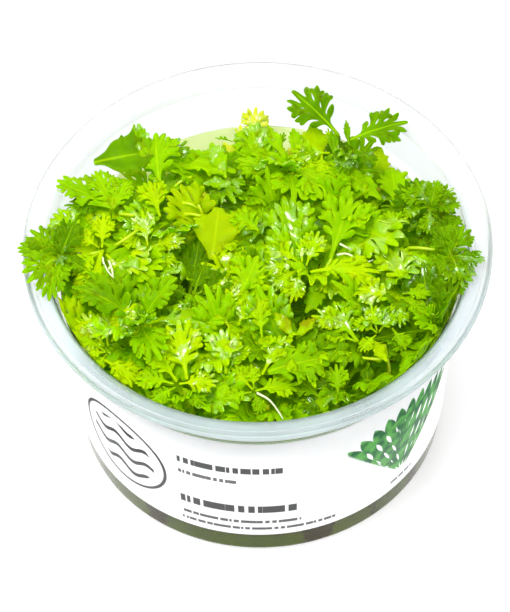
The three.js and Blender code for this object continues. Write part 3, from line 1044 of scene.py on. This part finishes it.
def rosetteForm(name, shoot, chance):
    form = bmesh.new()
    form.verts.layers.float_color.new("leafTone")
    form.loops.layers.uv.new("leafPlan")
    crown, angle, whorls = Vector(shoot.at) * mm, shoot.turn, rosette["whorls"]
    if name in seenLeaves:
        placeLeaves(form, seenLeaves[name], shoot.paler, chance)
        crown.z -= rosette["seenSink"] * mm
        whorls = rosette["seenWhorls"]
    ripest = 1 if shoot.yellow > rosette["ripe"] else rosette["mostYellow"]
    for kind, count, lift, share in whorls:
        for _ in range(count):
            turn, rise, stretch, height = drawn(chance, filling, "turn", "lift", "length", "height")
            angle += rosette["golden"] + turn
            length = shoot.leaf * rosette["larger"] * share * stretch * mm
            root = crown + Vector((0, 0, height * mm))
            tip = underSkyline(root, root + towards(angle, lift + rise) * length)
            if tip is None:
                continue
            yellow = clamped(shoot.yellow + shoot.paler + chance.uniform(*filling["tint"]), ripest)
            tone = (yellow, wetness(root, tip, chance), 0)
            picked = chance.choice(rosette["lobed"]) if kind == "lobed" else kind
            posture = drawn(chance, filling, "wide", "bend", "roll", "fold")
            growLeaf(form, picked, root, tip, *posture, tone)
    for depth, kind in rosette["levels"]:
        for _ in range(rosette["perLevel"]):
            angle += rosette["golden"]
            lift, tint = drawn(chance, hidden, "lift", "tint")
            root = crown - Vector((0, 0, depth * mm))
            tip = root + towards(angle, lift) * shoot.leaf * mm
            tone = (clamped(shoot.paler + tint, 1), 0, 0)
            growLeaf(form, kind, root, tip, hidden["wide"], hidden["bend"], 0, hidden["fold"], tone)
    return form


def solidLeaves(piece):
    thick = piece.modifiers.new("thick", "SOLIDIFY")
    thick.thickness = blade["thick"]
    thick.offset = 0


leafPaint = leafMatter()
for name, shoot in shoots.items():
    x, y, _ = shoot.at
    chance = random.Random(rosette["seed"] + len(name) * 7 + x * 13 + y)
    mesh = meshOf(rosetteForm(name, shoot, chance), "leaves_" + name)
    solidLeaves(addPiece("rosette_" + name, mesh, leafPaint, "leaf", "leaves_" + name))
print("rosettes made:", len(shoots))

# Stems, in mm: foot and middle are parts of the rosette's distance from the cup's axis
stem = {
    "radius": 0.85,
    "thinner": 0.25,
    "sides": 10,
    "steps": 9,
    "foot": 0.8,
    "middle": 0.86,
    "sunk": 0.5,
    "below": 3.5,
}


def stemMatter():
    graph = Graph("stemMatter")
    mottle = graph.noise(graph.place(), 200)
    return graph.surface({
        "Base Color": graph.mix(mottle, colour(176, 220, 6), colour(222, 242, 20)),
        "Roughness": 0.35,
        "Subsurface Weight": 0.2,
        "Subsurface Scale": 1 * mm,
        "Normal": graph.bump(0.2, 0.2, mottle),
    })


def tube(points, radii, sides):
    # a ring drawn along points, one extrusion a step, closed at both ends
    form = bmesh.new()
    ring = bmesh.ops.create_circle(form, segments=sides, radius=1, cap_ends=True)["verts"]
    last, lastWay, lastRadius = Vector((0, 0, 0)), Vector((0, 0, 1)), 1
    for i, (point, radius) in enumerate(zip(points, radii)):
        before, after = points[max(i - 1, 0)], points[min(i + 1, len(points) - 1)]
        way = (after - before).normalized()
        if i:
            faces = [f for f in form.faces if all(v in ring for v in f.verts)]
            made = bmesh.ops.extrude_face_region(form, geom=faces)["geom"]
            bmesh.ops.delete(form, geom=faces, context="FACES_ONLY")
            ring = [v for v in made if isinstance(v, bmesh.types.BMVert)]
        turn = lastWay.rotation_difference(way).to_matrix()
        for v in ring:
            v.co = point + turn @ (v.co - last) * radius / lastRadius
        last, lastWay, lastRadius = point, way, radius
    bmesh.ops.recalc_face_normals(form, faces=form.faces)
    return form


def stemForm(shoot):
    x, y, z = shoot.at
    foot = Vector((x * stem["foot"], y * stem["foot"], gel["top"] - stem["sunk"]))
    top = Vector((x, y, z - stem["below"]))
    middle = Vector((x * stem["middle"], y * stem["middle"], (foot.z + top.z) / 2))
    steps = stem["steps"]
    points = [point * mm for point in curved(foot, middle, top, steps)]
    radii = [(stem["radius"] - stem["thinner"] * (i / steps)) * mm for i in range(steps + 1)]
    return tube(points, radii, stem["sides"])


stemPaint = stemMatter()
for name, shoot in shoots.items():
    addPiece("shootStem_" + name, meshOf(stemForm(shoot), "stem_" + name), stemPaint, "stem", "stem_" + name)
print("stems made")

# Pale stalks and thin roots that show between the leaves, as points (across, down, height in mm)
strands = {
    "stalks": {"radius": 0.42, "end": 0.3, "sides": 8, "routes": [
        [(152, 222, 47), (144, 218, 57), (132, 215, 60), (119, 214, 59)],
        [(146, 224, 48), (139, 229, 58), (127, 238, 61), (114, 246, 59)],
        [(170, 206, 55), (182, 203, 57.5), (193, 205, 58), (204, 212, 56)],
        [(178, 216, 55), (190, 214, 57.5), (200, 216, 58), (212, 219, 56)],
        [(184, 192, 55), (193, 198, 57.5), (199, 206, 58), (203, 216, 56)],
        [(103, 251, 58), (91, 254, 59), (78, 254, 53)],
        [(204, 172, 50), (195, 176, 56), (180, 182, 57), (166, 196, 54)],
        [(387, 358, 54), (375, 359, 55), (356, 357, 54)],
        [(388, 378, 46), (389, 368, 50), (387, 358, 54), (385, 344, 56)],
        [(408, 248, 57), (420, 248, 58), (435, 250, 58)],
        [(332, 258, 58), (326, 268, 58), (320, 275, 57)]]},
    "roots": {"radius": 0.26, "end": 0.14, "sides": 8, "routes": [
        [(103, 258, 60), (104, 264, 61), (110, 274, 61), (119, 282, 60)],
        [(109, 261, 60), (112, 270, 61), (114, 282, 60), (119, 299, 59)],
        [(337, 255, 61), (348, 254, 61), (362, 262, 60), (373, 260, 60)],
        [(340, 244, 61), (346, 247, 61), (352, 250, 60)],
        [(257, 393, 57), (268, 399, 57), (276, 408, 56), (283, 419, 55)]]},
}


def smoothRoute(marks):
    # points along a curve that passes through all of the marks
    points = []
    for i, (start, end) in enumerate(zip(marks, marks[1:])):
        before, after = marks[max(i - 1, 0)], marks[min(i + 2, len(marks) - 1)]
        leaving, coming = (end - before) / 2, (after - start) / 2
        for t in (0, 0.25, 0.5, 0.75):
            points.append(start * (2 * t ** 3 - 3 * t ** 2 + 1) + leaving * (t ** 3 - 2 * t ** 2 + t)
                          + end * (3 * t ** 2 - 2 * t ** 3) + coming * (t ** 3 - t ** 2))
    return points + [marks[-1]]


def strandForm(kind):
    form = bmesh.new()
    for route in kind["routes"]:
        points = smoothRoute([photoPoint(*mark) for mark in route])
        count = len(points) - 1
        radii = [(kind["radius"] + (kind["end"] - kind["radius"]) * i / count) * mm for i in range(count + 1)]
        strand = meshOf(tube(points, radii, kind["sides"]), "strand")
        form.from_mesh(strand)
        bpy.data.meshes.remove(strand)
    return form


def rootMatter():
    graph = Graph("rootMatter")
    mottle = graph.noise(graph.place(), 300)
    skin = graph.mix(mottle, colour(226, 236, 170), colour(246, 250, 226))
    return graph.surface({"Base Color": skin, "Roughness": 0.35})


addPiece("paleStalks", meshOf(strandForm(strands["stalks"]), "paleStalks"), stemPaint, "stem")
addPiece("whiteRoots", meshOf(strandForm(strands["roots"]), "whiteRoots"), rootMatter(), "stem")
print("stalks and roots made")

# Studio: a pale floor and soft light from all sides
studio = {
    "white": (1, 1, 1, 1),
    "floor": 3.0,
    "floorTint": (0.45, 0.45, 0.45, 1),
    "floorGlow": 0.65,
    "horizon": 0.8,
    "zenith": 0.28,
    "aim": (0, 0, 0.04),
    # where each lamp hangs, its size and its power
    "lamps": {
        "keyLight": ((-0.25, -0.35, 1.15), 0.4, 10.5),
        "sideLight": ((0.5, -0.45, 1.0), 0.12, 1.6),
        "leftLight": ((-0.6, 0.3, 0.95), 0.12, 1.3),
        "backLight": ((0.15, 0.65, 1.0), 0.2, 2.4),
    },
}


def addFloor():
    form = bmesh.new()
    bmesh.ops.create_grid(form, x_segments=1, y_segments=1, size=studio["floor"])
    floor = bpy.data.objects.new("floor", meshOf(form, "floor"))
    bpy.context.collection.objects.link(floor)
    floor.data.materials.append(Graph("paleFloor").surface({
        "Base Color": studio["floorTint"],
        "Roughness": 0.9,
        "Emission Color": studio["white"],
        "Emission Strength": studio["floorGlow"],
    }))


def addSky():
    world = bpy.data.worlds.new("studio")
    bpy.context.scene.world = world
    world.use_nodes = True
    nodes, links = world.node_tree.nodes, world.node_tree.links
    ways = nodes.new("ShaderNodeSeparateXYZ")
    fade = nodes.new("ShaderNodeMapRange")
    fade.inputs["To Min"].default_value = studio["horizon"]
    fade.inputs["To Max"].default_value = studio["zenith"]
    links.new(nodes.new("ShaderNodeTexCoord").outputs["Generated"], ways.inputs[0])
    links.new(ways.outputs["Z"], fade.inputs["Value"])
    links.new(fade.outputs[0], nodes["Background"].inputs["Strength"])
    nodes["Background"].inputs["Color"].default_value = studio["white"]


def addLamps():
    for name, (spot, size, power) in studio["lamps"].items():
        data = bpy.data.lights.new(name, "AREA")
        data.size = size
        data.energy = power
        lamp = bpy.data.objects.new(name, data)
        lamp.location = spot
        lamp.rotation_euler = (Vector(studio["aim"]) - Vector(spot)).to_track_quat("-Z", "Y").to_euler()
        bpy.context.collection.objects.link(lamp)


addFloor()
addSky()
addLamps()
bpy.context.scene.view_settings.view_transform = "Standard"
print("studio lit")
